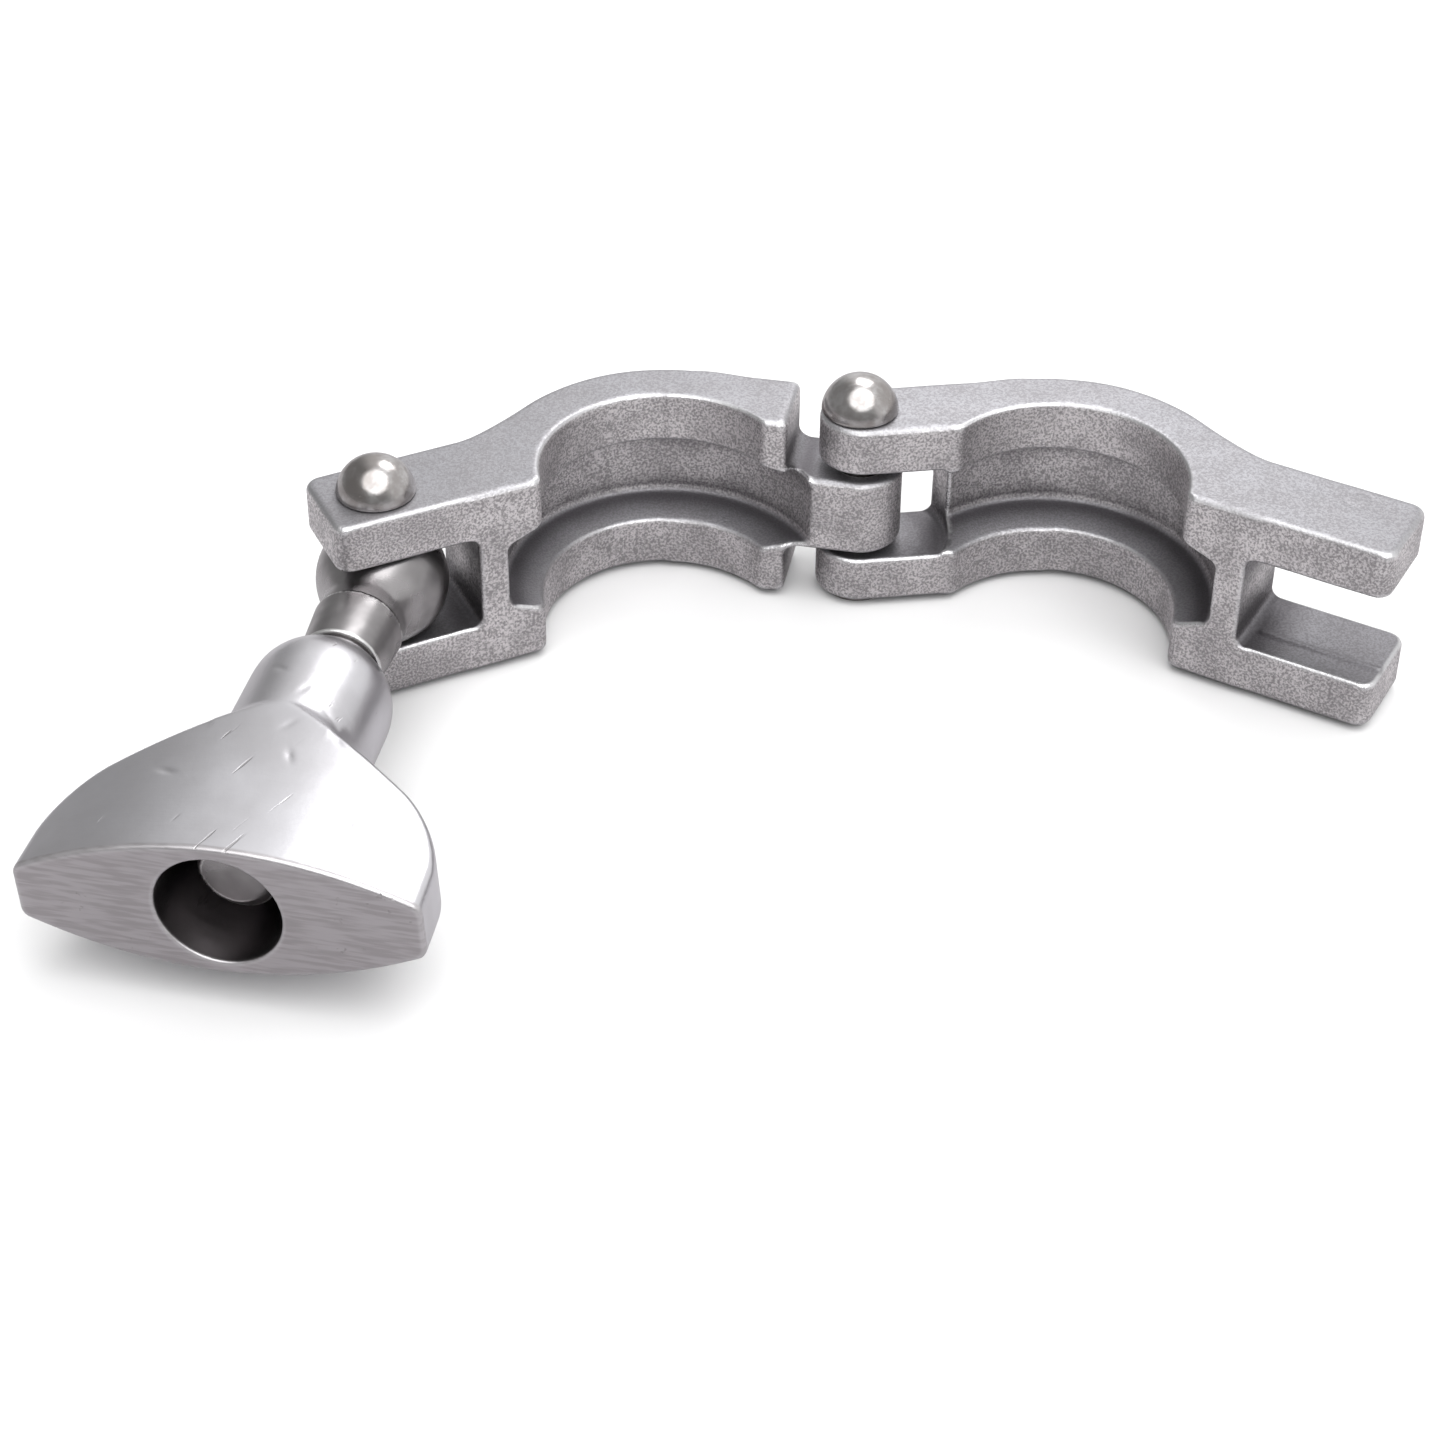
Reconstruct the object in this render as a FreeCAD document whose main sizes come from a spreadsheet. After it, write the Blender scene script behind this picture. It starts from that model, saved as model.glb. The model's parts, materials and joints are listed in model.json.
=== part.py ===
"""A small swing-bolt pipe clamp, opened out: two cast half rings on a hinge rivet, and a swing bolt
with a wing nut that drops into the open slot of the second half.

Frame: +Z runs along the pipe, +X from the ring's centre to the hinge, and the origin is the centre
of the clevis jaw's ring at mid-height. Sizes are in millimetres and degrees.
"""
import FreeCAD
import Part
import math
import os
import Sketcher
from FreeCAD import Vector

doc = FreeCAD.newDocument("swing_bolt_clamp")
dims = doc.addObject("Spreadsheet::Sheet", "Dims")

DIMENSIONS = {
    # both jaws
    "jaw_height": 17.4,
    "lip_radius": 10.2,
    "groove_radius": 13.5,
    "outer_radius": 14.75,
    "lip_thickness": 4.45,
    "groove_wall": 5.75,
    "half_gap": 1.7,
    "ear_end": 27.9,
    "ear_back": 10.3,
    "ear_corner": 1.4,
    "ear_gap": 8.7,
    "slot_root": 15.9,
    "back_fillet": 3.0,
    # hinge end
    "hinge_offset": 18.5,
    "boss_radius": 3.6,
    "arm_length": 13.2,
    "fork_clearance_radius": 7.8,
    "plate_end": 5.9,
    "knuckle_top": 3.4,
    "knuckle_bottom": -3.8,
    # rivets
    "rivet_radius": 1.95,
    "running_clearance": 0.07,
    "dome_radius": 3.35,
    "dome_height": 3.1,
    "tail_radius": 2.85,
    "tail_height": 0.55,
    # where the swing bolt hangs in the clevis
    "bolt_pin_x": -23.0,
    "bolt_pin_y": 6.0,
    # swing bolt, along its own axis from the rivet
    "ball_radius": 5.5,
    "ball_half_width": 4.15,
    "neck_radius": 3.7,
    "neck_end": 7.05,
    "taper_end": 12.2,
    "taper_radius": 3.4,
    "relief_radius": 2.8,
    "relief_end": 12.9,
    "thread_radius": 3.175,
    "thread_end": 38.5,
    "thread_chamfer": 0.6,
    # wing nut, along the same axis
    "nose_start": 13.2,
    "nose_radius": 3.5,
    "nose_arc": 6.72,
    "hub_start": 17.4,
    "hub_radius": 5.85,
    "nut_end": 42.4,
    "nut_bore_radius": 3.25,
    "mouth_radius": 4.85,
    "mouth_bottom": 26.0,
    "face_thickness": 11.9,
    "tip_thickness": 4.6,
    "wing_reach": 15.5,
    "wing_start": 24.0,
    "wing_knee": 32.8,
    "wing_knee_reach": 13.2,
    "wing_shoulder": 36.0,
    "shoulder_radius": 5.0,
    # how far a cut or a join runs past the face it meets
    "overlap": 1.0,
    # rest pose
    "slot_jaw_turn": -55.3,
    "bolt_turn": -127.1,
    "nut_roll": 2.7,
}

for row, (alias, number) in enumerate(DIMENSIONS.items(), start=1):
    dims.set(f"A{row}", alias)
    dims.set(f"B{row}", str(number))
    dims.setAlias(f"B{row}", alias)
doc.recompute()

ORIGIN = -1
ALONG_X = -1
ALONG_Y = -2
START = 1
END = 2
CENTRE = 3
TINY = 1e-9
NEAR = 0.1
LEAST_CUT = 0.01


def new_body(label):
    """One physical piece, named as its file will be."""
    body = doc.addObject("PartDesign::Body", label)
    body.Label = label
    return body


def new_sketch(body, name, plane, offset=None, turn=None):
    """A sketch on the body's own origin plane, moved along its axes and turned if asked."""
    sketch = body.newObject("Sketcher::SketchObject", name)
    support = next(f for f in body.Origin.OriginFeatures if f.Role == plane)
    sketch.AttachmentSupport = (support, [""])
    sketch.MapMode = "FlatFace"
    for axis, expression in (offset or {}).items():
        sketch.setExpression(f"AttachmentOffset.Base.{axis}", expression)
    if turn:
        sketch.setExpression("AttachmentOffset.Rotation.Angle", turn)
    return sketch


def number_of(sketch, expression):
    """The value that an expression on the sheet has now."""
    value = sketch.evalExpression(expression)
    return float(getattr(value, "Value", value))


def fix_point(sketch, geometry, end, corner):
    """Bind a point of the sketch to its two expressions."""
    across = (("DistanceX", ALONG_Y, corner[0]), ("DistanceY", ALONG_X, corner[1]))
    for kind, axis, expression in across:
        value = number_of(sketch, expression)
        if abs(value) < TINY:
            sketch.addConstraint(Sketcher.Constraint("PointOnObject", geometry, end, axis))
            continue
        index = sketch.addConstraint(
            Sketcher.Constraint(kind, ORIGIN, START, geometry, end, value))
        sketch.setExpression(f"Constraints[{index}]", expression)


def fix_radius(sketch, geometry, expression):
    """Bind an arc's or circle's radius to its expression."""
    value = number_of(sketch, expression)
    index = sketch.addConstraint(Sketcher.Constraint("Radius", geometry, value))
    sketch.setExpression(f"Constraints[{index}]", expression)


def arc_between(start, end, radius, bulge):
    """The short arc from start to end; bulge is +1 to the left of the way from start to end."""
    chord = end - start
    inward = Vector(chord.y, -chord.x, 0).normalize() * bulge
    depth = math.sqrt(max(radius ** 2 - (chord.Length / 2) ** 2, 0))
    centre = (start + end) / 2 + inward * depth
    first, last = (end, start) if bulge > 0 else (start, end)
    angles = [math.atan2(p.y - centre.y, p.x - centre.x) for p in (first, last)]
    if angles[1] < angles[0]:
        angles[1] += 2 * math.pi
    circle = Part.Circle(centre, Vector(0, 0, 1), radius)
    return Part.ArcOfCircle(circle, *angles)


def draw_outline(sketch, corners, arcs=None):
    """A closed outline; arcs maps the number of an edge to its (radius, bulge)."""
    arcs = arcs or {}
    points = [Vector(number_of(sketch, x), number_of(sketch, y), 0) for x, y in corners]
    ends = []
    for i, start in enumerate(points):
        end = points[(i + 1) % len(points)]
        if i in arcs:
            radius, bulge = arcs[i]
            curve = arc_between(start, end, number_of(sketch, radius), bulge)
            geometry = sketch.addGeometry(curve, False)
            ends.append((geometry, END, START) if bulge > 0 else (geometry, START, END))
        else:
            geometry = sketch.addGeometry(Part.LineSegment(start, end), False)
            ends.append((geometry, START, END))
    for i, (geometry, first, last) in enumerate(ends):
        after, after_first, _ = ends[(i + 1) % len(ends)]
        sketch.addConstraint(Sketcher.Constraint("Coincident", geometry, last, after, after_first))
        fix_point(sketch, geometry, first, corners[i])
        if i in arcs:
            fix_radius(sketch, geometry, arcs[i][0])


def draw_circle(sketch, centre, radius):
    """A circle bound to its centre and radius."""
    middle = Vector(number_of(sketch, centre[0]), number_of(sketch, centre[1]), 0)
    circle = Part.Circle(middle, Vector(0, 0, 1), number_of(sketch, radius))
    geometry = sketch.addGeometry(circle, False)
    fix_point(sketch, geometry, CENTRE, centre)
    fix_radius(sketch, geometry, radius)


def rectangle(low_x, high_x, low_y, high_y):
    """The corners of an upright rectangle, as expressions."""
    return [(low_x, low_y), (high_x, low_y), (high_x, high_y), (low_x, high_y)]


def grow(body, name, sketch, length):
    """Pad the sketch the same way to both sides of its plane."""
    feature = body.newObject("PartDesign::Pad", name)
    feature.Profile = sketch
    feature.SideType = "Symmetric"
    feature.setExpression("Length", length)
    doc.recompute()
    return feature


def cut(body, name, sketch, length=None):
    """Cut the sketch out, right through or to a length shared by both sides of its plane."""
    before = body.Shape.Volume
    feature = body.newObject("PartDesign::Pocket", name)
    feature.Profile = sketch
    feature.SideType = "Symmetric"
    if length:
        feature.setExpression("Length", length)
    else:
        feature.Type = "ThroughAll"
    doc.recompute()
    if body.Shape.Volume > before - LEAST_CUT:
        raise RuntimeError(f"{body.Label}: {name} cuts nothing")
    return feature


def turned(body, name, sketch, axis):
    """Turn the sketch once round one of its own axes."""
    feature = body.newObject("PartDesign::Revolution", name)
    feature.Profile = sketch
    feature.ReferenceAxis = (sketch, [axis])
    feature.Angle = 360
    doc.recompute()
    return feature


def round_edges(body, name, base, wanted, radius):
    """Fillet the edges of base that wanted() picks."""
    edges = [f"Edge{i}" for i, edge in enumerate(base.Shape.Edges, start=1) if wanted(edge)]
    feature = body.newObject("PartDesign::Fillet", name)
    feature.Base = (base, edges)
    feature.setExpression("Radius", radius)
    doc.recompute()
    return feature


def side(sign, expression):
    """An X expression, mirrored when sign is negative."""
    return expression if sign > 0 else f"-({expression})"


def jaw_casting(label, hinge):
    """Half ring with its lips, the arm to the hinge and the block for the ears.

    hinge is +1 when the hinge end points along +X and -1 when it points along -X.
    """
    body = new_body(label)
    half_disc = new_sketch(body, f"{label}_half_disc", "XY_Plane")
    reach = "sqrt(Dims.outer_radius ^ 2 - Dims.half_gap ^ 2)"
    draw_outline(half_disc, [(reach, "Dims.half_gap"), (f"-{reach}", "Dims.half_gap")],
                 {1: ("Dims.outer_radius", 1)})
    grow(body, f"{label}_ring", half_disc, "Dims.jaw_height")

    arm = new_sketch(body, f"{label}_arm_outline", "XY_Plane",
                     {"x": side(hinge, "Dims.hinge_offset")}, arm_turn(hinge))
    draw_outline(arm, [("0", "-Dims.boss_radius"), ("Dims.arm_length", "-Dims.boss_radius"),
                       ("Dims.arm_length", "Dims.boss_radius"), ("0", "Dims.boss_radius"),
                       ("-Dims.boss_radius", "0")],
                 {3: ("Dims.boss_radius", -1), 4: ("Dims.boss_radius", -1)})
    grow(body, f"{label}_arm", arm, "Dims.jaw_height")

    block = new_sketch(body, f"{label}_ear_outline", "XY_Plane")
    end = side(-hinge, "Dims.ear_end")
    inner_end = side(-hinge, "Dims.ear_end - Dims.ear_corner")
    draw_outline(block, [("0", "Dims.half_gap"), (inner_end, "Dims.half_gap"),
                         (end, "Dims.half_gap + Dims.ear_corner"),
                         (end, "Dims.ear_back - Dims.ear_corner"),
                         (inner_end, "Dims.ear_back"), ("0", "Dims.ear_back")],
                 {1: ("Dims.ear_corner", hinge), 3: ("Dims.ear_corner", hinge)})
    ears = grow(body, f"{label}_ears", block, "Dims.jaw_height")

    outer = DIMENSIONS["outer_radius"]
    back = DIMENSIONS["ear_back"]
    corner_x = -hinge * math.sqrt(outer ** 2 - back ** 2)

    def inside_corner(edge):
        middle = edge.CenterOfMass
        return math.hypot(middle.x - corner_x, middle.y - back) < NEAR and abs(middle.z) < NEAR

    round_edges(body, f"{label}_back_fillet", ears, inside_corner, "Dims.back_fillet")
    return body


def arm_turn(hinge):
    """The arm's direction from the hinge: tangent to the outside of the ring and of the boss."""
    lean = "acos((Dims.outer_radius - Dims.boss_radius) / Dims.hinge_offset)"
    return f"90 deg + {lean}" if hinge > 0 else f"90 deg - {lean}"


def cut_ring(body):
    """The pipe's opening, its two lips and the V groove between them."""
    label = body.Label
    section = new_sketch(body, f"{label}_groove_section", "XZ_Plane")
    half = "Dims.jaw_height / 2"
    tip = "Dims.jaw_height / 2 - Dims.lip_thickness"
    wall = "Dims.jaw_height / 2 - Dims.groove_wall"
    draw_outline(section, [("0", f"-({half})"), ("Dims.lip_radius", f"-({half})"),
                           ("Dims.lip_radius", f"-({tip})"), ("Dims.groove_radius", f"-({wall})"),
                           ("Dims.groove_radius", wall), ("Dims.lip_radius", tip),
                           ("Dims.lip_radius", half), ("0", half)])
    before = body.Shape.Volume
    groove = body.newObject("PartDesign::Groove", f"{label}_groove")
    groove.Profile = section
    groove.ReferenceAxis = (section, ["V_Axis"])
    groove.Angle = 360
    doc.recompute()
    if body.Shape.Volume > before - LEAST_CUT:
        raise RuntimeError(f"{label}: the groove cuts nothing")


def cut_ear_slot(body, hinge):
    """The open slot between the two ears."""
    slot = new_sketch(body, f"{body.Label}_slot_section", "XZ_Plane")
    root = side(-hinge, "Dims.slot_root")
    past_end = side(-hinge, "Dims.ear_end + Dims.ear_corner")
    draw_outline(slot, rectangle(root, past_end, "-Dims.ear_gap / 2", "Dims.ear_gap / 2"))
    cut(body, f"{body.Label}_slot", slot)


def cut_hole(body, name, centre, radius):
    """A hole along Z, right through."""
    hole = new_sketch(body, f"{name}_circle", "XY_Plane")
    draw_circle(hole, centre, radius)
    cut(body, name, hole)


def make_clevis_jaw():
    """The jaw whose ears hold the swing bolt, with one knuckle in the middle of the hinge."""
    body = jaw_casting("clevis_jaw", 1)
    cut_ring(body)
    cut_ear_slot(body, 1)
    half = "Dims.jaw_height / 2"
    for name, near in (("above", "Dims.knuckle_top"), ("below", "-Dims.knuckle_bottom")):
        sign = 1 if name == "above" else -1
        middle = f"({half} + {near}) / 2" if sign > 0 else f"-({half} + {near}) / 2"
        plate = new_sketch(body, f"knuckle_{name}_outline", "XY_Plane",
                           {"x": "Dims.hinge_offset", "z": middle}, arm_turn(1))
        draw_outline(plate, rectangle("-2 * Dims.boss_radius", "Dims.plate_end",
                                      "-3 * Dims.boss_radius", "2 * Dims.boss_radius"))
        cut(body, f"knuckle_{name}", plate, f"{half} - {near}")
    cut_hole(body, "knuckle_bore", ("Dims.hinge_offset", "0"),
             "Dims.rivet_radius + Dims.running_clearance")
    cut_hole(body, "bolt_rivet_hole", ("Dims.bolt_pin_x", "Dims.bolt_pin_y"), "Dims.rivet_radius")
    return body


def make_slot_jaw():
    """The jaw with the open slot, and a two-plate fork at the hinge."""
    body = jaw_casting("slot_jaw", -1)
    cut_ring(body)
    cut_ear_slot(body, -1)
    room = new_sketch(body, "fork_room_circle", "XY_Plane")
    draw_circle(room, ("-Dims.hinge_offset", "0"), "Dims.fork_clearance_radius")
    cut(body, "fork_room", room, "Dims.ear_gap")
    cut_hole(body, "hinge_rivet_hole", ("-Dims.hinge_offset", "0"), "Dims.rivet_radius")
    return body


def make_rivet(label):
    """A rivet with a polished dome on top and a flat peened tail."""
    body = new_body(label)
    section = new_sketch(body, f"{label}_section", "XZ_Plane")
    top = "Dims.jaw_height / 2"
    bottom = "-Dims.jaw_height / 2"
    tail = "-Dims.jaw_height / 2 - Dims.tail_height"
    cap_radius = "(Dims.dome_radius ^ 2 + Dims.dome_height ^ 2) / (2 * Dims.dome_height)"
    draw_outline(section, [("0", tail), ("Dims.tail_radius", tail), ("Dims.tail_radius", bottom),
                           ("Dims.rivet_radius", bottom), ("Dims.rivet_radius", top),
                           ("Dims.dome_radius", top), ("0", "Dims.jaw_height / 2 + Dims.dome_height")],
                 {5: (cap_radius, -1)})
    turned(body, f"{label}_turned", section, "V_Axis")
    return body


def make_swing_bolt():
    """Ball end with two flats and a cross bore, neck, taper, relief and thread, along +X."""
    body = new_body("swing_bolt")
    section = new_sketch(body, "bolt_section", "XY_Plane")
    ball_to_neck = "sqrt(Dims.ball_radius ^ 2 - Dims.neck_radius ^ 2)"
    chamfer_start = "Dims.thread_end - Dims.thread_chamfer"
    draw_outline(section, [("-Dims.ball_radius", "0"), (ball_to_neck, "Dims.neck_radius"),
                           ("Dims.neck_end", "Dims.neck_radius"),
                           ("Dims.taper_end", "Dims.taper_radius"),
                           ("Dims.taper_end", "Dims.relief_radius"),
                           ("Dims.relief_end", "Dims.relief_radius"),
                           ("Dims.relief_end", "Dims.thread_radius"),
                           (chamfer_start, "Dims.thread_radius"),
                           ("Dims.thread_end", "Dims.thread_radius - Dims.thread_chamfer"),
                           ("Dims.thread_end", "0")],
                 {0: ("Dims.ball_radius", 1)})
    turned(body, "bolt_turned", section, "H_Axis")
    for name, sign in (("top", ""), ("bottom", "-")):
        flat = new_sketch(body, f"{name}_flat_section", "XZ_Plane")
        draw_outline(flat, rectangle("-1.2 * Dims.ball_radius", "1.2 * Dims.ball_radius",
                                     f"{sign}Dims.ball_half_width", f"{sign}1.2 * Dims.ball_radius"))
        cut(body, f"{name}_flat", flat)
    cut_hole(body, "ball_bore", ("0", "0"), "Dims.rivet_radius + Dims.running_clearance")
    return body


def make_wing_nut():
    """One casting: domed nose, hub and two wings of lens-shaped section, along +X."""
    body = new_body("wing_nut")
    lens = new_sketch(body, "lens_section", "YZ_Plane",
                      {"z": "(Dims.nut_end + Dims.wing_start) / 2"})
    crown = "(Dims.face_thickness - Dims.tip_thickness) / 2"
    crown_radius = f"(Dims.wing_reach ^ 2 + ({crown}) ^ 2) / (2 * ({crown}))"
    corners = rectangle("-Dims.wing_reach", "Dims.wing_reach",
                        "-Dims.tip_thickness / 2", "Dims.tip_thickness / 2")
    draw_outline(lens, corners, {0: (crown_radius, -1), 2: (crown_radius, -1)})
    grow(body, "lens_block", lens, "Dims.nut_end - Dims.wing_start")
    for name, sign in (("right", ""), ("left", "-")):
        swept = new_sketch(body, f"{name}_wing_line", "XY_Plane")
        draw_outline(swept, [("Dims.wing_start - Dims.overlap", "0"),
                             ("Dims.wing_start", "0"),
                             ("Dims.wing_knee", f"{sign}Dims.wing_knee_reach"),
                             ("Dims.wing_shoulder", f"{sign}Dims.wing_reach"),
                             ("Dims.wing_shoulder", f"{sign}1.2 * Dims.wing_reach"),
                             ("Dims.wing_start - Dims.overlap", f"{sign}1.2 * Dims.wing_reach")],
                     {2: ("Dims.shoulder_radius", 1 if sign == "" else -1)})
        cut(body, f"{name}_wing", swept)
    hub = new_sketch(body, "hub_section", "XY_Plane")
    hub_end = "Dims.nut_end - Dims.overlap"
    draw_outline(hub, [("Dims.nose_start", "0"), ("Dims.nose_start", "Dims.nose_radius"),
                       ("Dims.hub_start", "Dims.hub_radius"), (hub_end, "Dims.hub_radius"),
                       (hub_end, "0")],
                 {1: ("Dims.nose_arc", 1)})
    turned(body, "hub", hub, "H_Axis")
    for name, near, radius in (("thread_bore", "Dims.nose_start - Dims.overlap", "Dims.nut_bore_radius"),
                               ("mouth", "Dims.mouth_bottom", "Dims.mouth_radius")):
        circle = new_sketch(body, f"{name}_circle", "YZ_Plane",
                            {"z": f"(Dims.nut_end + Dims.overlap + {near}) / 2"})
        draw_circle(circle, ("0", "0"), radius)
        cut(body, name, circle, f"Dims.nut_end + Dims.overlap - ({near})")
    return body


def place(body, x="0", y="0", turn="0"):
    """Put a piece where it sits at rest: moved in X and Y, and turned about Z."""
    body.setExpression("Placement.Base.x", x)
    body.setExpression("Placement.Base.y", y)
    body.setExpression("Placement.Rotation.Yaw", turn)


clevis_jaw = make_clevis_jaw()
slot_jaw = make_slot_jaw()
hinge_rivet = make_rivet("hinge_rivet")
bolt_rivet = make_rivet("bolt_rivet")
swing_bolt = make_swing_bolt()
wing_nut = make_wing_nut()

place(clevis_jaw)
place(slot_jaw, "Dims.hinge_offset + Dims.hinge_offset * cos(Dims.slot_jaw_turn)",
      "Dims.hinge_offset * sin(Dims.slot_jaw_turn)", "Dims.slot_jaw_turn")
place(hinge_rivet, "Dims.hinge_offset")
place(bolt_rivet, "Dims.bolt_pin_x", "Dims.bolt_pin_y")
place(swing_bolt, "Dims.bolt_pin_x", "Dims.bolt_pin_y", "Dims.bolt_turn")
place(wing_nut, "Dims.bolt_pin_x", "Dims.bolt_pin_y", "Dims.bolt_turn")
wing_nut.setExpression("Placement.Rotation.Roll", "Dims.nut_roll")
doc.recompute()

pieces = [clevis_jaw, slot_jaw, hinge_rivet, bolt_rivet, swing_bolt, wing_nut]
for item in doc.Objects:
    if "Invalid" in item.State or "Error" in item.State:
        raise RuntimeError(f"{item.Label} did not build: {item.State}")
os.makedirs("parts", exist_ok=True)
for piece in pieces:
    shape = piece.Shape
    if shape.isNull() or not shape.isValid() or len(shape.Solids) != 1:
        raise RuntimeError(f"{piece.Label} is not one valid solid")
    shape.exportStep(f"parts/{piece.Label}.step")
    box = shape.BoundBox
    print(f"{piece.Label}: {shape.Volume:.1f} mm3, X {box.XMin:.2f}..{box.XMax:.2f}, "
          f"Y {box.YMin:.2f}..{box.YMax:.2f}, Z {box.ZMin:.2f}..{box.ZMax:.2f}")
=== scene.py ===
# %% [markdown]
# # A swing-bolt pipe clamp, opened out
#
# The clamp holds two pipe ends together: two cast half rings close round them, and a swing bolt
# with a wing nut pulls the halves tight. Six real pieces make it. This file builds each of them as
# a smooth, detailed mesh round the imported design, and gives it a finish worked out from nodes.

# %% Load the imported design
import json
import math

import bpy
import numpy as np
from mathutils import Matrix, Vector


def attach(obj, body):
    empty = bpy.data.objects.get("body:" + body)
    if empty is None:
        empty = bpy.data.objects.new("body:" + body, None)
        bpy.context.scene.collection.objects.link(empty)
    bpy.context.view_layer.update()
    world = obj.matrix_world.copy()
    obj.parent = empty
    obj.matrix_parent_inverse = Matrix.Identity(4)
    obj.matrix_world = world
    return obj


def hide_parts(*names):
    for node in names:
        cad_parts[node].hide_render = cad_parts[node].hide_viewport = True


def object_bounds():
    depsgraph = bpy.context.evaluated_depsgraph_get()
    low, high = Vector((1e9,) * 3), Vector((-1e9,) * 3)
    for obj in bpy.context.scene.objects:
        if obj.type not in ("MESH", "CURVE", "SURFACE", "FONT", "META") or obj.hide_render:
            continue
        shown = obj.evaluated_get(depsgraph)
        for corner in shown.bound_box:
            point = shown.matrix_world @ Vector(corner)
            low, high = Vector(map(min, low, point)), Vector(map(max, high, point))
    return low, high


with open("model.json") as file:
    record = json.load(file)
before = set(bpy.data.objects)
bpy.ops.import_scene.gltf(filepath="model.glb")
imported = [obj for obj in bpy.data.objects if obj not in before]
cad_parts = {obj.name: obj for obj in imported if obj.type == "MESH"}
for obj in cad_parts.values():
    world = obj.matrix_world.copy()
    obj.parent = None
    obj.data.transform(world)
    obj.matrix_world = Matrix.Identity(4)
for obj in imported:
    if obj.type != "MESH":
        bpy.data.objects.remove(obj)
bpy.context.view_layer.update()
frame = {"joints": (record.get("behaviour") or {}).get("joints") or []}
joints = {joint["name"]: joint for joint in frame["joints"]}
MM = 0.001

# %% [markdown]
# ## Shapes as distance fields
#
# A cast piece has no sharp corners: where two walls meet, the metal flows round in a fillet. Plain
# meshes make that hard, because every fillet has to be cut by hand. A distance field makes it easy.
# A field gives, for any point, how far it is from the surface, below zero inside. Two fields are
# joined or cut with one formula, and a radius in that formula makes the fillet. The points below
# are in millimetres in each piece's own axes.


# %% Joining and cutting with a radius
def join(a, b, radius):
    """Both shapes together, with a hollow fillet where they meet."""
    fillet = np.hypot(np.maximum(radius - a, 0), np.maximum(radius - b, 0))
    return np.maximum(radius, np.minimum(a, b)) - fillet


def keep(a, b, radius):
    """Only what lies in both shapes, with rounded outer edges where they meet."""
    rounding = np.hypot(np.maximum(a + radius, 0), np.maximum(b + radius, 0))
    return np.minimum(-radius, np.maximum(a, b)) + rounding


def carve(solid, hollow, radius):
    """The solid with the hollow taken out of it, and its rim rounded."""
    return keep(solid, -hollow, radius)


# %% Simple shapes
def between(value, low, high):
    """A slab: how far a value lies outside the stretch from low to high."""
    return np.abs(value - (low + high) / 2) - (high - low) / 2


def block(x, y, low, high, corner):
    """A rectangle with rounded corners."""
    return keep(between(x, low[0], high[0]), between(y, low[1], high[1]), corner)


# %% [markdown]
# ## From a field to a mesh
#
# The method is called surface nets. The field is sampled on a grid. Every grid cell that the
# surface passes through gets one vertex, near the middle of the places where the surface crosses
# the cell's edges. Marching cubes would also work, but it makes thin triangles, and surface nets
# makes even quads, which shade more smoothly.

# %% One vertex in each cell that the surface crosses
CORNERS = np.array([(i, j, k) for i in (0, 1) for j in (0, 1) for k in (0, 1)])
CELL_EDGES = [(a, b) for a in range(8) for b in range(a + 1, 8)
              if np.abs(CORNERS[a] - CORNERS[b]).sum() == 1]


def cell_points(value, index):
    """A point in each listed cell, in cells: the mean of the crossings on its edges."""
    at_corner = [value[tuple((index + corner).T)] for corner in CORNERS]
    total = np.zeros((len(index), 3))
    count = np.zeros(len(index))
    for a, b in CELL_EDGES:
        crossed = (at_corner[a] < 0) != (at_corner[b] < 0)
        share = at_corner[a] / np.where(crossed, at_corner[a] - at_corner[b], 1)
        point = CORNERS[a] + share[:, None] * (CORNERS[b] - CORNERS[a])
        total += np.where(crossed[:, None], point, 0)
        count += crossed
    return index + total / count[:, None]


# %% [markdown]
# Every grid edge that the surface crosses has four cells round it, and their four vertices make one
# quad. Its direction depends on which end of the edge lies inside, so that all faces look outwards.


# %% One quad round each grid edge that the surface crosses
def net_quads(inside, number):
    """The quads, as rows of four vertex numbers; number gives each cell's vertex."""
    quads = []
    for axis in range(3):
        first = np.moveaxis(inside, axis, 0)[:-1]
        second = np.moveaxis(inside, axis, 0)[1:]
        crossing = np.argwhere(first != second)
        leaves = first[tuple(crossing.T)]
        others = [n for n in range(3) if n != axis]
        place = np.zeros_like(crossing)
        place[:, [axis, *others]] = crossing
        u, v = (axis + 1) % 3, (axis + 2) % 3
        ring = []
        for du, dv in ((-1, -1), (0, -1), (0, 0), (-1, 0)):
            near = place.copy()
            near[:, u] += du
            near[:, v] += dv
            ring.append(number[tuple(near.T)])
        quad = np.stack(ring, 1)
        quad[~leaves] = quad[~leaves][:, ::-1]
        quads.append(quad)
    return np.concatenate(quads)


# %% [markdown]
# The vertices are then moved along the field's slope until they lie exactly on the surface. This is
# what makes the small radii crisp on a grid that is no finer than they are.

# %% Settle the vertices on the surface
SETTLING_ROUNDS = 3
LONGEST_SHIFT = 0.6


def slope(field, points, step):
    """The field's value and gradient at the points."""
    gradient = np.empty_like(points)
    for axis in range(3):
        ahead = points.copy()
        behind = points.copy()
        ahead[:, axis] += step
        behind[:, axis] -= step
        gradient[:, axis] = (field(*ahead.T) - field(*behind.T)) / (2 * step)
    return field(*points.T), gradient


def settle(field, points, cell):
    """Move the points onto the surface, by no more than a part of a cell at a time."""
    for _ in range(SETTLING_ROUNDS):
        value, gradient = slope(field, points, cell * 0.2)
        steepness2 = np.maximum((gradient ** 2).sum(1), 0.05)
        shift = -(value / steepness2)[:, None] * gradient
        length = np.maximum(np.linalg.norm(shift, axis=1), 1e-9)
        points = points + shift * np.minimum(1, LONGEST_SHIFT * cell / length)[:, None]
    return points


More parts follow.
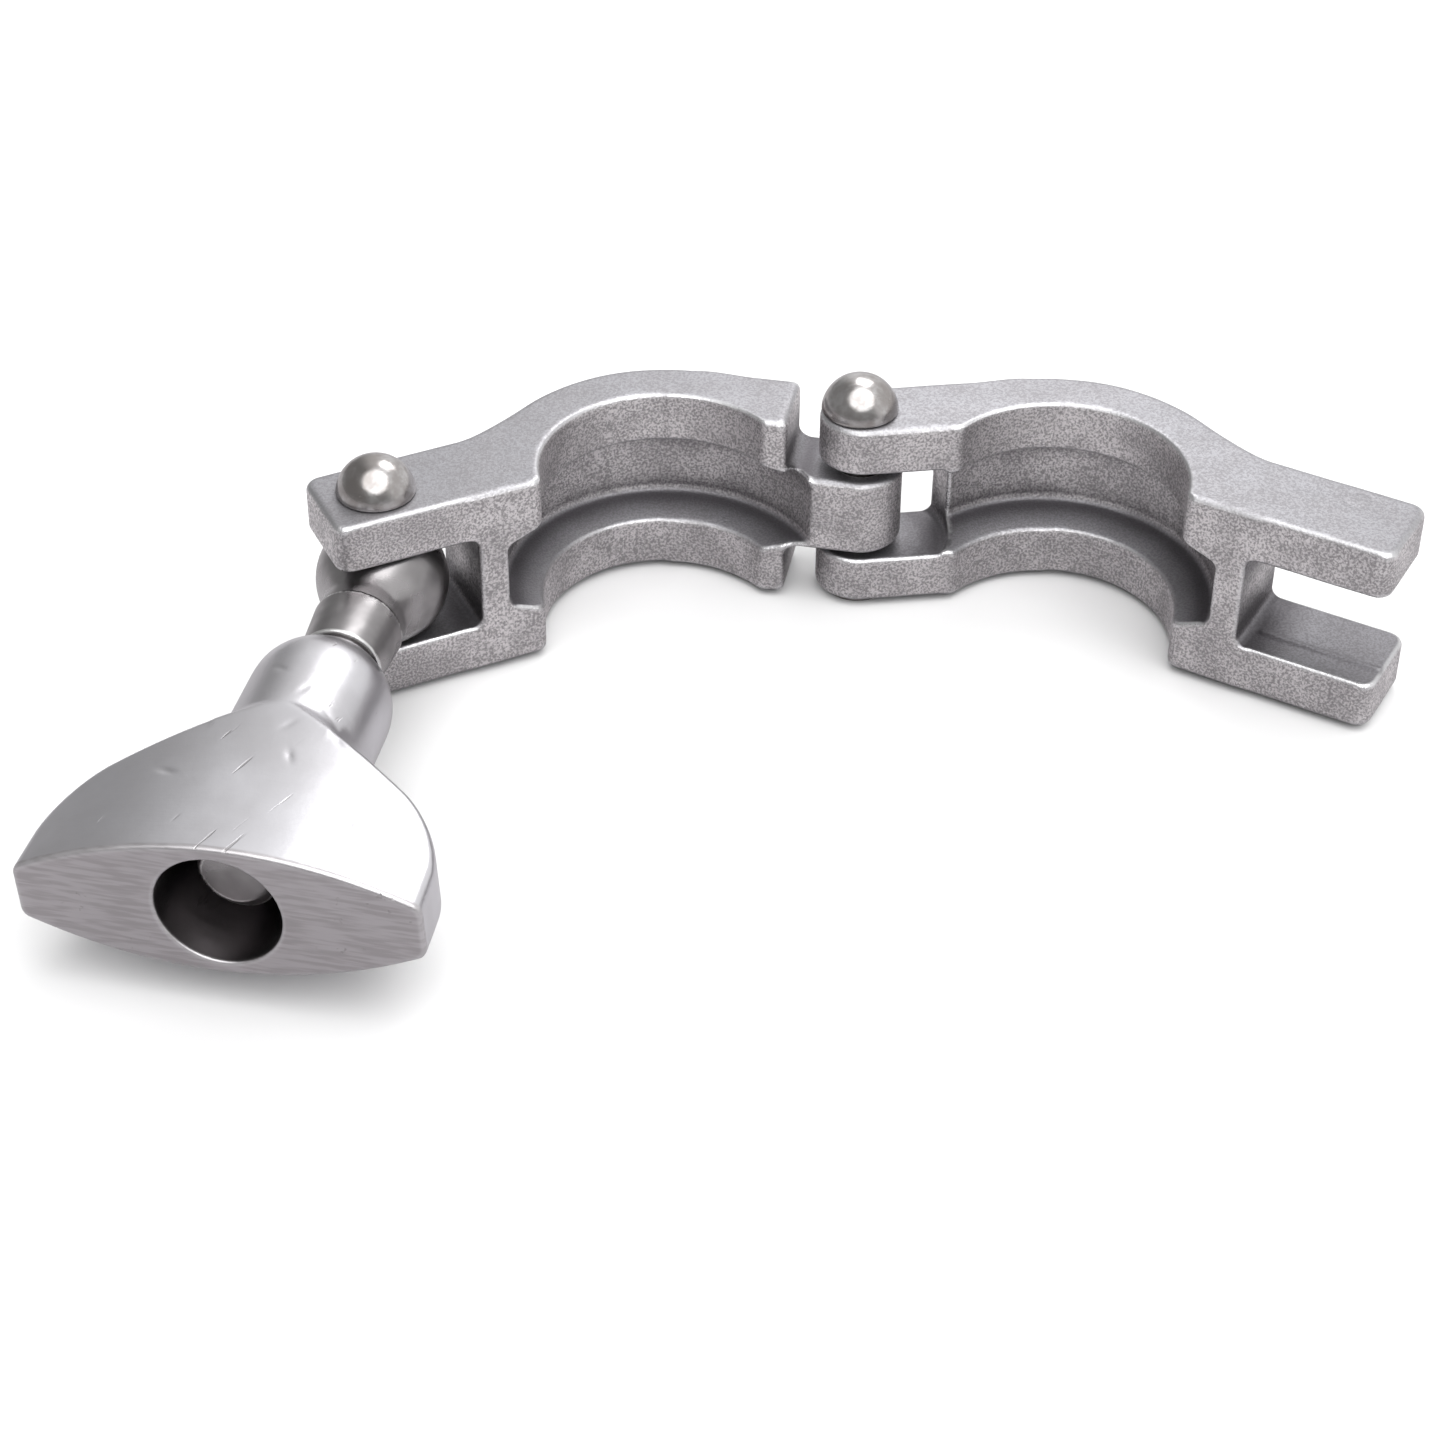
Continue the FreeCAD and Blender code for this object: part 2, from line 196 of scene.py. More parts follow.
# %% The whole net
def surface_net(field, low, high, cell):
    """Vertices and quads of the surface between the two corners."""
    axes = [np.arange(a - 2 * cell, b + 3 * cell, cell) for a, b in zip(low, high)]
    value = np.broadcast_to(field(*np.ix_(*axes)), [len(a) for a in axes])
    inside = value < 0
    filled = np.zeros([n - 1 for n in inside.shape], np.int8)
    for i, j, k in CORNERS:
        filled += inside[i:i + filled.shape[0], j:j + filled.shape[1], k:k + filled.shape[2]]
    index = np.argwhere((filled > 0) & (filled < len(CORNERS)))
    number = np.full(filled.shape, -1, np.int32)
    number[tuple(index.T)] = np.arange(len(index))
    start = np.array([a[0] for a in axes])
    points = start + cell_points(value, index) * cell
    return settle(field, points, cell), net_quads(inside, number)


ball_points, ball_quads = surface_net(lambda x, y, z: np.sqrt(x * x + y * y + z * z) - 1,
                                      (-1, -1, -1), (1, 1, 1), 0.25)
print("a test ball has", len(ball_points), "vertices and", len(ball_quads), "quads")

# %% [markdown]
# ## What a mesh remembers about its shape
#
# Each mesh carries values per vertex that the finishes read. Raised edges get a painted highlight,
# on the jaws together with rubbed wear, and hollows get painted shade. The first value is how
# sharply the surface bends there, worked out from how much the normals of neighbouring vertices
# turn.

# %% How sharply a surface bends
SHARPEST = 1.6


def read_vectors(items, name):
    """A vector property of mesh elements as an array."""
    values = np.empty(len(items) * 3)
    items.foreach_get(name, values)
    return values.reshape(-1, 3)


def bend(mesh):
    """The bend at each vertex, above zero on raised edges and below in hollows; and normals."""
    place = read_vectors(mesh.vertices, "co") / MM
    normal = read_vectors(mesh.vertex_normals, "vector")
    edge = np.empty(len(mesh.edges) * 2, np.int32)
    mesh.edges.foreach_get("vertices", edge)
    a, b = edge.reshape(-1, 2).T
    along = place[b] - place[a]
    turn = ((normal[b] - normal[a]) * along).sum(1) / np.maximum((along ** 2).sum(1), 1e-6)
    count = len(place)
    neighbours = np.maximum(np.bincount(a, None, count) + np.bincount(b, None, count), 1)
    total = np.bincount(a, turn, count) + np.bincount(b, turn, count)
    for _ in range(2):
        mean = total / neighbours
        total = np.bincount(a, mean[b], count) + np.bincount(b, mean[a], count)
    return mean, normal


# %% [markdown]
# The second is how sheltered a point is, which the finishes use to paint shade in grooves and
# hollows.
# It comes from the field. Out in the open, the field grows as fast as one walks away from the
# surface.
# In a groove the other wall comes nearer, so the field stays smaller than the walk. Comparing the
# two at a few distances costs far less than tracing rays.

# %% How sheltered a point is
WALKS = (1.2, 2.5, 4.5, 7.5)


def shelter(field, points):
    """How much each point is closed in by other walls, from 0 in the open to 1, for painted shade.
    """
    gradient = slope(field, points, 0.05)[1]
    outward = gradient / np.maximum(np.linalg.norm(gradient, axis=1), 1e-6)[:, None]
    shade_share = np.zeros(len(points))
    for walk in WALKS:
        room = field(*(points + walk * outward).T)
        shade_share += np.clip(1 - room / walk, 0, 1) / len(WALKS)
    return shade_share


# %% [markdown]
# ## Placing a piece
#
# Each piece is modelled in its own axes, then moved to where the design says, in metres. It rides
# on its body, and it stands for the plain design node of the same piece. Besides the bend and the
# shelter, it carries how far the surface is turned away from straight up, and the distance along
# its first axis.


# %% A mesh from arrays
def quad_mesh(name, points, quads):
    """A smooth shaded mesh from vertices and rows of four vertex numbers."""
    mesh = bpy.data.meshes.new(name)
    mesh.vertices.add(len(points))
    mesh.vertices.foreach_set("co", points.astype(np.float32).ravel())
    mesh.loops.add(quads.size)
    mesh.loops.foreach_set("vertex_index", quads.astype(np.int32).ravel())
    mesh.polygons.add(len(quads))
    mesh.polygons.foreach_set("loop_start", np.arange(0, quads.size, 4, dtype=np.int32))
    mesh.polygons.foreach_set("loop_total", np.full(len(quads), 4, np.int32))
    mesh.update(calc_edges=True)
    mesh.validate()
    mesh.shade_smooth()
    return mesh


def write_values(mesh, name, values):
    """Store one number per vertex under a name that a material can read."""
    attribute = mesh.attributes.new(name, "FLOAT", "POINT")
    attribute.data.foreach_set("value", values.astype(np.float32))


# %% A piece in its place
FINISH = "_finish"


def spot(x, y, turn=0.0, roll=0.0):
    """A place in the frame: a point in millimetres, a turn about Z, and a roll about the new X."""
    return (Matrix.Translation(Vector((x, y, 0)) * MM) @ Matrix.Rotation(turn, 4, "Z")
            @ Matrix.Rotation(roll, 4, "X"))


def add_piece(name, field, low, high, cell, place, body, material):
    """Mesh the field, put it in place, and hang it on its body instead of its design node."""
    points, quads = surface_net(field, low, high, cell)
    moved = np.c_[points * MM, np.ones(len(points))] @ np.array(place).T
    mesh = quad_mesh(name, moved[:, :3], quads)
    bending, normal = bend(mesh)
    # Raised bend feeds painted highlights on edges, sunken bend feeds painted shade in creases.
    write_values(mesh, "raised", np.clip(bending / SHARPEST, 0, 1))
    write_values(mesh, "sunken_shade", np.clip(-bending / SHARPEST, 0, 1))
    # The jaws' finish also paints light and shade by how far a face turns from straight up.
    write_values(mesh, "flank", 1 - np.abs(normal[:, 2]))
    # How closed in each point is: the finishes paint shade with it.
    write_values(mesh, "shade_share", shelter(field, points))
    write_values(mesh, "along", points[:, 0] * MM)
    mesh.materials.append(material)
    piece = bpy.data.objects.new(name + "_body", mesh)
    bpy.context.scene.collection.objects.link(piece)
    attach(piece, body)
    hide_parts(name)
    print(name, len(mesh.vertices), "vertices", len(mesh.polygons), "faces")
    return piece


# %% [markdown]
# ## Finishes
#
# All six pieces are stainless steel, but each got its surface another way. The jaws are investment
# castings: the ceramic mould leaves a fine pitted grain, which tumbling has smoothed on the flat top
# and bottom and left alone on the flanks. The nut is cast too, then tumbled to a satin. The bolt is
# turned on a lathe, and the rivet heads are polished. Two effects come back in several of them, so
# each is a node group that every material places with its own values: a grain of pits, and
# scratches. The helpers below keep the node trees short: an input is a plain value or another
# node's output.


# %% Nodes and their inputs
def feed(tree, socket, value):
    """Give a socket a plain value or another node's output."""
    if isinstance(value, bpy.types.NodeSocket):
        tree.links.new(value, socket)
    else:
        socket.default_value = value


def node(tree, kind, settings=None, **inputs):
    """A node with its settings and inputs; _0 and _1 are inputs by number."""
    made = tree.nodes.new(kind)
    for name, value in (settings or {}).items():
        setattr(made, name, value)
    for name, value in inputs.items():
        numbered = name[1:].isdigit()
        feed(tree, made.inputs[int(name[1:]) if numbered else name], value)
    return made


# %% Sums and steps
def math_node(tree, operation, a, b):
    """A Math node on two values."""
    return node(tree, "ShaderNodeMath", {"operation": operation}, _0=a, _1=b).outputs[0]


def plus(tree, a, b):
    """The sum of two values."""
    return math_node(tree, "ADD", a, b)


def minus(tree, a, b):
    """The first value less the second."""
    return math_node(tree, "SUBTRACT", a, b)


def times(tree, a, b):
    """The product of two values."""
    return math_node(tree, "MULTIPLY", a, b)


def fade(tree, value, low, high, to_low=0.0, to_high=1.0):
    """A smooth step from to_low to to_high while value goes from low to high."""
    made = node(tree, "ShaderNodeMapRange", {"interpolation_type": "SMOOTHSTEP"}, Value=value)
    made.inputs["From Min"].default_value = low
    made.inputs["From Max"].default_value = high
    made.inputs["To Min"].default_value = to_low
    made.inputs["To Max"].default_value = to_high
    return made.outputs["Result"]


# %% Noise, stored values and tints
def noise(tree, place, scale, detail=3.0, roughness=0.55):
    """Cloudy noise; its scale counts features per metre."""
    made = node(tree, "ShaderNodeTexNoise", Vector=place, Scale=scale, Detail=detail,
                Roughness=roughness)
    return made.outputs["Fac"]


def stored(tree, name):
    """The value that a mesh carries per vertex under this name."""
    return node(tree, "ShaderNodeAttribute", {"attribute_name": name}).outputs["Fac"]


def tint(tree, base, colour, share):
    """Lay a colour over another by a share that changes over the surface."""
    made = node(tree, "ShaderNodeMix", {"data_type": "RGBA"}, Factor=share)
    under = base if isinstance(base, bpy.types.NodeSocket) else (*base, 1)
    feed(tree, made.inputs[6], under)
    feed(tree, made.inputs[7], (*colour, 1))
    return made.outputs[2]


# %% Node groups
def new_group(name, inputs, outputs):
    """An empty node group with the named inputs and outputs."""
    group = bpy.data.node_groups.new(name, "ShaderNodeTree")
    for socket, kind, value in inputs:
        item = group.interface.new_socket(socket, in_out="INPUT", socket_type=kind)
        if value is not None:
            item.default_value = value
    for socket in outputs:
        group.interface.new_socket(socket, in_out="OUTPUT", socket_type="NodeSocketFloat")
    return group, group.nodes.new("NodeGroupInput"), group.nodes.new("NodeGroupOutput")


def placed(tree, group, **inputs):
    """A node group placed in a material with its own values."""
    made = node(tree, "ShaderNodeGroup", {"node_tree": group})
    for name, value in inputs.items():
        feed(tree, made.inputs[name.replace("_", " ")], value)
    return made


# %% [markdown]
# The grain is what a mould's ceramic slurry leaves in the metal: tiny dimples side by side, with
# darker specks here and there. Two noises make it. The fine one gives the dimples their height,
# and where it is strongest it gives the specks. A coarse noise decides where the specks lie close
# together. The group also gives slow clouds, for metal that was rubbed
# more in one place than in another.


# %% Cast grain
def make_grain():
    """The node group for a casting's grain."""
    tree, given, made = new_group(
        "Cast grain",
        [("Place", "NodeSocketVector", None), ("Grains per metre", "NodeSocketFloat", 3500.0),
         ("Clouds per metre", "NodeSocketFloat", 160.0)],
        ["Height", "Specks", "Clouds"])
    place = given.outputs["Place"]
    dimples = noise(tree, place, given.outputs["Grains per metre"], 3.0, 0.6)
    clouds = noise(tree, place, given.outputs["Clouds per metre"], 3.0, 0.55)
    crowd = plus(tree, dimples, times(tree, clouds, 0.12))
    tree.links.new(dimples, made.inputs["Height"])
    tree.links.new(fade(tree, crowd, 0.46, 0.66), made.inputs["Specks"])
    tree.links.new(fade(tree, clouds, 0.36, 0.66), made.inputs["Clouds"])
    return tree


grain_group = make_grain()
print("group:", grain_group.name)

# %% [markdown]
# Handling and tumbling leave short scratches. A noise stretched a long way in one direction looks
# like a brushed surface. Where a second noise is high, the stretched one is let through, so the
# scratches come in patches, as they do on a real tool that has rattled about in a drawer.


# %% Scratches
def make_scratches():
    """The node group for short scratches, as a mask and a height."""
    tree, given, made = new_group(
        "Scratches",
        [("Place", "NodeSocketVector", None), ("Along", "NodeSocketFloat", 90.0),
         ("Across", "NodeSocketFloat", 2600.0), ("Angle", "NodeSocketFloat", 0.4)],
        ["Mask", "Lines"])
    place = given.outputs["Place"]
    across = given.outputs["Across"]
    turned = node(tree, "ShaderNodeVectorRotate", {"rotation_type": "Z_AXIS"}, Vector=place,
                  Angle=given.outputs["Angle"]).outputs[0]
    stretch = node(tree, "ShaderNodeCombineXYZ", X=given.outputs["Along"], Y=across,
                   Z=across).outputs[0]
    drawn = node(tree, "ShaderNodeVectorMath", {"operation": "MULTIPLY"}, _0=turned, _1=stretch)
    lines = noise(tree, drawn.outputs[0], 1.0, 2.0, 0.5)
    patches = fade(tree, noise(tree, place, 210.0, 2.0, 0.5), 0.48, 0.62)
    deep = fade(tree, lines, 0.66, 0.74)
    tree.links.new(times(tree, deep, patches), made.inputs["Mask"])
    tree.links.new(lines, made.inputs["Lines"])
    return tree


scratch_group = make_scratches()
print("group:", scratch_group.name)

# %% [markdown]
# A finish is a metal shader whose colour, roughness and bumps come from nodes. A colour here is how
# much light the bare metal gives back, in red, green and blue, except where a finish also paints
# light and shade into it, as each finish says. Bumps are chained from the largest down, each with
# its real depth, so that the light catches the pits and the scratches alike.


# %% A new finish
def new_finish(name):
    """A material with its tree, its steel shader and the place on the object."""
    material = bpy.data.materials.new(name + FINISH)
    material.use_nodes = True
    tree = material.node_tree
    shader = tree.nodes["Principled BSDF"]
    shader.inputs["Metallic"].default_value = 1.0
    place = tree.nodes.new("ShaderNodeTexCoord").outputs["Object"]
    return material, tree, shader, place


def raise_bumps(tree, shader, layers):
    """Chain bump nodes; a layer is (height, distance in millimetres, strength)."""
    normal = None
    for height, distance, strength in layers:
        bump = node(tree, "ShaderNodeBump", Height=height, Distance=distance * MM,
                    Strength=strength)
        if normal:
            tree.links.new(normal, bump.inputs["Normal"])
        normal = bump.outputs["Normal"]
    tree.links.new(normal, shader.inputs["Normal"])


# %% [markdown]
# The cast steel of the jaws changes with the way a face points. The flanks keep the mould's grain
# and a warm, dull grey, and the top and bottom have been tumbled flatter. The colour step between
# flanks and tops is painted light and shade, set for how bright each face looks under this light.
# The raised edges get a painted highlight together with rubbed wear, and the groove and other
# closed-in places get painted shade.


# %% Cast steel of the jaws
def make_cast_steel():
    """Speckled flanks, smoother tops, and painted light: by face direction, on edges, in hollows."""
    material, tree, shader, place = new_finish("cast_steel")
    grain = placed(tree, grain_group, Place=place, Grains_per_metre=5000.0,
                   Clouds_per_metre=260.0).outputs
    brushed = placed(tree, scratch_group, Place=place, Along=500.0, Across=3800.0,
                     Angle=0.9).outputs
    flank = fade(tree, stored(tree, "flank"), 0.25, 0.75)
    edge = fade(tree, stored(tree, "raised"), 0.30, 0.95)
    shade_share = fade(tree, stored(tree, "shade_share"), 0.02, 0.44)

    # Painted light and shade: tops and flanks get different colours for how each is lit.
    base = tint(tree, (0.40, 0.396, 0.418), (0.84, 0.81, 0.82), flank)
    base = tint(tree, base, (0.36, 0.347, 0.36), times(tree, grain["Clouds"], 0.30))
    specks = times(tree, grain["Specks"], fade(tree, flank, 0.0, 1.0, 0.45, 0.72))
    base = tint(tree, base, (0.24, 0.228, 0.236), specks)
    # Painted shade in the groove and other closed-in places.
    base = tint(tree, base, (0.11, 0.103, 0.112), times(tree, shade_share, 0.85))
    # Painted highlight on the raised edges, together with rubbed wear.
    base = tint(tree, base, (0.86, 0.86, 0.87), times(tree, edge, 0.65))
    tree.links.new(base, shader.inputs["Base Color"])

    rough = fade(tree, flank, 0.0, 1.0, 0.46, 0.40)
    rough = minus(tree, rough, times(tree, edge, 0.20))
    rough = plus(tree, rough, times(tree, grain["Specks"], 0.10))
    tree.links.new(rough, shader.inputs["Roughness"])
    dimples = times(tree, grain["Height"], fade(tree, flank, 0.0, 1.0, 0.45, 1.0))
    raise_bumps(tree, shader, [(dimples, 0.12, 0.6), (brushed["Lines"], 0.03, 0.25)])
    return material


cast_steel = make_cast_steel()
print("finish:", cast_steel.name)

# %% [markdown]
# The nut is cast and then tumbled for hours with ceramic chips, which closes the grain to a soft
# satin. What is left is a faint cloudiness, with small nicks and scratches where it was handled.
# Its end face was ground flat on a belt, so fine lines run straight across it. The stored distance
# along the nut tells the face from the rest. The mouth and other closed-in places get painted shade,
# and the raised edges a faint painted highlight.

# %% Satin steel of the wing nut
NUT_FACE = 42.4


def make_satin_steel():
    """Tumbled satin with scratches, faint clouds and a ground end face."""
    material, tree, shader, place = new_finish("satin_steel")
    grain = placed(tree, grain_group, Place=place, Grains_per_metre=900.0,
                   Clouds_per_metre=110.0).outputs
    scratches = placed(tree, scratch_group, Place=place, Along=160.0, Across=1500.0,
                       Angle=2.6).outputs
    belt = placed(tree, scratch_group, Place=place, Along=260.0, Across=2600.0,
                  Angle=0.65).outputs
    edge = fade(tree, stored(tree, "raised"), 0.18, 0.8)
    face = fade(tree, stored(tree, "along"), (NUT_FACE - 0.6) * MM, (NUT_FACE - 0.3) * MM)
    shade_share = fade(tree, stored(tree, "shade_share"), 0.09, 0.20)

    base = tint(tree, (0.68, 0.672, 0.70), (0.57, 0.56, 0.58), grain["Clouds"])
    base = tint(tree, base, (0.52, 0.495, 0.51), times(tree, face, 0.9))
    base = tint(tree, base, (0.30, 0.28, 0.28), times(tree, scratches["Mask"], 0.45))
    drawn = times(tree, fade(tree, belt["Lines"], 0.40, 0.62), 0.35)
    base = tint(tree, base, (0.26, 0.235, 0.24), times(tree, face, drawn))
    # Painted shade in the mouth and other closed-in places.
    base = tint(tree, base, (0.17, 0.15, 0.155), times(tree, shade_share, 0.92))
    # Painted highlight on the raised edges.
    base = tint(tree, base, (0.82, 0.82, 0.83), times(tree, edge, 0.25))
    tree.links.new(base, shader.inputs["Base Color"])

    rough = fade(tree, grain["Clouds"], 0.0, 1.0, 0.28, 0.35)
    rough = plus(tree, rough, times(tree, face, 0.10))
    tree.links.new(rough, shader.inputs["Roughness"])
    raise_bumps(tree, shader, [(grain["Height"], 0.05, 0.22), (scratches["Mask"], -0.06, 0.5),
                               (belt["Lines"], 0.03, 0.2)])
    return material


satin_steel = make_satin_steel()
print("finish:", satin_steel.name)

# %% [markdown]
# The bolt was turned on a lathe. The tool leaves fine rings round the axis, and the steel between
# them is bright. Handling has dulled it in patches. The rings are noise that depends only on the
# distance along the bolt. Its creases get painted shade, and its raised edges a painted highlight.


# %% Turned steel of the swing bolt
def make_turned_steel():
    """Bright steel with tool rings round the bolt's axis."""
    material, tree, shader, place = new_finish("turned_steel")
    grain = placed(tree, grain_group, Place=place, Grains_per_metre=1400.0,
                   Clouds_per_metre=190.0).outputs
    along = node(tree, "ShaderNodeCombineXYZ", X=stored(tree, "along")).outputs[0]
    rings = noise(tree, along, 2600.0, 3.0, 0.6)
    edge = fade(tree, stored(tree, "raised"), 0.25, 0.8)
    hollow = fade(tree, stored(tree, "sunken_shade"), 0.15, 0.7)

    base = tint(tree, (0.38, 0.366, 0.37), (0.26, 0.25, 0.253), grain["Clouds"])
    # Painted shade in the creases, where the surface bends inwards.
    base = tint(tree, base, (0.20, 0.185, 0.18), times(tree, hollow, 0.3))
    # Painted highlight on the raised edges and the shoulder.
    base = tint(tree, base, (0.85, 0.85, 0.84), times(tree, edge, 0.7))
    tree.links.new(base, shader.inputs["Base Color"])
    rough = fade(tree, grain["Clouds"], 0.0, 1.0, 0.26, 0.38)
    tree.links.new(rough, shader.inputs["Roughness"])
    raise_bumps(tree, shader, [(rings, 0.012, 0.25), (grain["Height"], 0.03, 0.25)])
    return material


turned_steel = make_turned_steel()
print("finish:", turned_steel.name)

# %% [markdown]
# The rivet heads were polished, so they mirror the room, but not perfectly: the peening hammer left
# the dome very slightly uneven, and fine scratches cross it.


# %% Polished steel of the rivets
def make_polished_steel():
    """Nearly a mirror, with slight unevenness and hairline scratches."""
    material, tree, shader, place = new_finish("polished_steel")
    grain = placed(tree, grain_group, Place=place, Grains_per_metre=1300.0,
                   Clouds_per_metre=420.0).outputs
    hairlines = placed(tree, scratch_group, Place=place, Along=300.0, Across=5200.0,
                       Angle=0.3).outputs
    base = tint(tree, (0.52, 0.508, 0.505), (0.34, 0.32, 0.31), grain["Clouds"])
    base = tint(tree, base, (0.30, 0.27, 0.26), times(tree, grain["Specks"], 0.35))
    tree.links.new(base, shader.inputs["Base Color"])
    rough = fade(tree, hairlines["Mask"], 0.0, 1.0, 0.21, 0.36)
    tree.links.new(rough, shader.inputs["Roughness"])
    raise_bumps(tree, shader, [(grain["Height"], 0.04, 0.35), (hairlines["Lines"], 0.01, 0.15)])
    return material


polished_steel = make_polished_steel()
print("finish:", polished_steel.name)

# %% [markdown]
# ## The two jaws
#
# Both jaws come from the same pattern: a half ring, two ears beside it, and an arm that runs off at
# a tangent to the hinge. Only the hinge end differs. They could be drawn as curves and extruded, but
# then the fillets between ring, ear and arm would be missing, and those are what make a casting
# look cast. So the outline on plan is joined from a disc, a block and a bar with the distance field
# formulas, which give the fillets for free, and then kept between top and bottom. The places of the
# two hinges come from the design.

# %% Where the pieces turn
HINGE = joints["jaw_hinge"]["pos_m"][0] / MM
BOLT_PIN = tuple(value / MM for value in joints["bolt_swing"]["pos_m"][:2])
BOLT_TURN = math.atan2(joints["nut_travel"]["axis"][1], joints["nut_travel"]["axis"][0])
JAW_TURN = math.radians(-55.3)
RIVET_RADIUS = 1.95
TURNING_RADIUS = 2.02
print("hinge at", round(HINGE, 3), "bolt pin at", BOLT_PIN, "bolt turned by",
      round(math.degrees(BOLT_TURN), 2), "degrees")

# %% Sizes of the jaws, in millimetres
HALF_HEIGHT = 8.7
HALF_GAP = 1.7
RING_OUTSIDE = 14.75
LIP_INSIDE = 10.2
GROOVE_INSIDE = 13.5
GROOVE_HALF = 2.95
GROOVE_FLARE = 0.394
EAR_END = 27.9
EAR_BACK = 10.3
SLOT_ROOT = 15.9
SLOT_HALF = 4.35
ARM_LENGTH = 13.2
ARM_RADIUS = 3.6
ARM_TURN = math.pi / 2 + math.acos((RING_OUTSIDE - ARM_RADIUS) / HINGE)
print("the arm leaves the hinge at", round(math.degrees(ARM_TURN), 2), "degrees")


# %% The outline on plan
def along_arm(x, y):
    """How far a point lies from the hinge along the arm, and to the side of it."""
    c, s = math.cos(ARM_TURN), math.sin(ARM_TURN)
    return (x - HINGE) * c + y * s, y * c - (x - HINGE) * s


def jaw_outline(x, y):
    """Half ring, ears and arm on plan, with the pipe's opening, hinge at +X."""
    ears = block(x, y, (-EAR_END, HALF_GAP), (0, EAR_BACK), 1.4)
    plan = join(np.hypot(x, y) - RING_OUTSIDE, ears, 3.0)
    plan = keep(plan, HALF_GAP - y, 0.35)
    plan = keep(plan, LIP_INSIDE - np.hypot(x, y), 1.0)
    along, aside = along_arm(x, y)
    arm = np.hypot(along - np.clip(along, 0, ARM_LENGTH), aside) - ARM_RADIUS
    return join(plan, arm, 0.5)


# %% [markdown]
# The groove is what holds the two pipe flanges. Its walls lean apart towards the opening, so that
# closing the clamp wedges the flanges together. It could be turned out of the ring with a boolean,
# but as a field it is one wall, mirrored by the distance from the middle height. Real castings are
# never quite flat, so slow waves a few hundredths of a millimetre high run over the whole surface.


# %% The casting that both jaws share
def waves(x, y, z, size):
    """The slight unevenness of a casting."""
    return size * (np.sin(0.83 * x + 0.4 * y + 1.0) * np.sin(0.71 * y - 0.5 * z)
                   + 0.1 * np.sin(1.9 * x - 1.3 * y + 0.8 * z + 2.0))


def jaw_field(x, y, z):
    """The outline kept between top and bottom, with the V groove and the slot for the bolt."""
    height = np.abs(z)
    out = np.hypot(x, y)
    solid = keep(jaw_outline(x, y), height - HALF_HEIGHT, 0.6)
    wall = height - GROOVE_HALF - (GROOVE_INSIDE - out) * GROOVE_FLARE
    groove = keep(out - GROOVE_INSIDE, wall / math.hypot(1, GROOVE_FLARE), 0.5)
    solid = carve(solid, join(out - LIP_INSIDE, groove, 0.3), 0.3)
    slot = keep(x + SLOT_ROOT, height - SLOT_HALF, 0.9)
    return carve(solid, slot, 0.4) + waves(x, y, z, 0.02)


# %% [markdown]
# At the hinge the clevis jaw has one knuckle in the middle. The knuckle is what is left when the
# upper and lower parts of the arm's end are sawn off, so its root has a small fillet and its cut
# corners are rounded. The hole through it is a little larger than the rivet, so that it turns.

# %% The clevis jaw
KNUCKLE = (-3.8, 3.4)
KNUCKLE_ROOT = 5.9
CELL = 0.2


def clevis_field(x, y, z):
    """The jaw that holds the swing bolt, with a single knuckle."""
    along = along_arm(x, y)[0]
    solid = keep(jaw_field(x, y, z), join(between(z, *KNUCKLE), KNUCKLE_ROOT - along, 1.2), 0.7)
    solid = carve(solid, np.hypot(x - HINGE, y) - TURNING_RADIUS, 0.3)
    return carve(solid, np.hypot(x - BOLT_PIN[0], y - BOLT_PIN[1]) - RIVET_RADIUS, 0.1)


add_piece("clevis_jaw", clevis_field, (-28.2, -4, -8.8), (22.4, 15, 8.8), CELL, spot(0, 0),
          "clevis_half", cast_steel)

# %% [markdown]
# The slot jaw is the same casting, mirrored. Two plates reach over and under the knuckle: a fork,
# made by taking a round room out of the arm's end. In its slot a thin ridge shows where the two
# parts of the mould met, and on top is the shallow mark of the gate, where the metal was poured in.

# %% The slot jaw
FORK_ROOM = 7.8
RIDGE_MIDDLE = (22.3, 4.6)
RIDGE_HALF = (5.2, 0.25, 0.12)
GATE = (22.6, 8.2)
GATE_RADIUS = 1.1


def slot_jaw_field(x, y, z):
    """The jaw with the open slot, mirrored, with the fork that holds the knuckle."""
    solid = jaw_field(-x, y, z)
    fork = np.hypot(x + HINGE, y)
    solid = carve(solid, keep(fork - FORK_ROOM, np.abs(z) - SLOT_HALF, 0.8), 0.4)
    ridge = keep(np.abs(z + SLOT_HALF + 0.02) - RIDGE_HALF[2],
                 np.abs(y - RIDGE_MIDDLE[1]) - RIDGE_HALF[1], 0.1)
    solid = join(solid, np.maximum(ridge, np.abs(x - RIDGE_MIDDLE[0]) - RIDGE_HALF[0]), 0.15)
    rim = (np.hypot(x - GATE[0], y - GATE[1]) - GATE_RADIUS) / 0.2
    solid = solid + 0.05 * np.exp(-rim ** 2) * (z > 0)
    return carve(solid, fork - RIVET_RADIUS, 0.1)


jaw_place = spot(HINGE + HINGE * math.cos(JAW_TURN), HINGE * math.sin(JAW_TURN), JAW_TURN)
add_piece("slot_jaw", slot_jaw_field, (-22.4, -4, -8.8), (28.2, 15, 8.8), CELL, jaw_place,
          "slot_half", cast_steel)

# %% [markdown]
# ## The rivets
#
# A rivet with a domed head goes down through each hinge, and its tail is hammered flat below. It
# could be a curve spun round an axis, but the hinge's dome sits a little off its shank, as a hand
# hammered rivet does. The dome's rim turns in just above the jaw, so a thin dark line of shadow
# runs round it.

# %% Rivets
DOME_RADIUS = 3.3
DOME_MIDDLE = 8.52
TAIL_RADIUS = 2.85
TAIL = (-9.24, -8.7)
HINGE_LEAN = (-0.14, 0.29)


